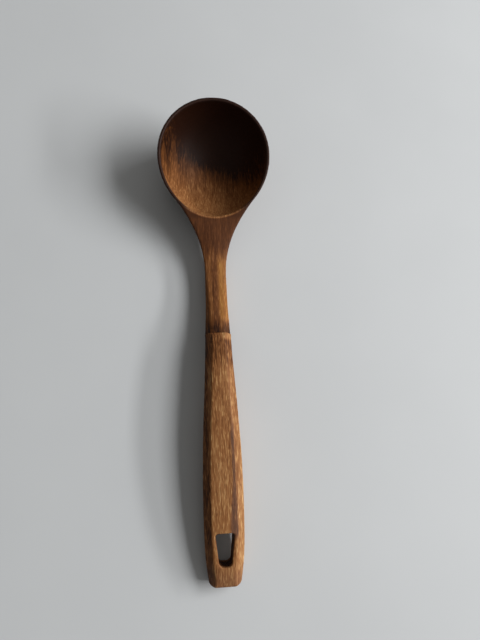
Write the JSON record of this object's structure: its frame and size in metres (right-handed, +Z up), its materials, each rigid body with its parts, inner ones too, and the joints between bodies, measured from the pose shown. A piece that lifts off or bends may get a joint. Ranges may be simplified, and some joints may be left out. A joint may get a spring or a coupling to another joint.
{
  "type": "wooden ladle",
  "caption": "Wooden soup ladle with a deep round bowl, a flared neck and an arched grip with planed edges and a tapered hang slot.",
  "frame": {"origin": "middle of the small sanded flat under the bowl, on the table that the ladle lies on", "axes": "+Y along the ladle from the grip's end to the bowl, +X across, +Z up from the table; the ladle is symmetric about X = 0"},
  "size_m": [0.088, 0.3594, 0.0551],
  "materials": {
    "bowl_wood": "oiled reddish brown hardwood, satin",
    "grip_wood": "oiled golden brown hardwood with dark streaks, satin",
    "dowel_wood": "plain pale hardwood, fluted",
    "glue": "set brown wood glue"
  },
  "bodies": {
    "root": {"bowl_head": "bowl_wood", "handle": "grip_wood", "dowel_pin_left": "dowel_wood", "dowel_pin_right": "dowel_wood", "glue_line": "glue"}
  },
  "joints": []
}
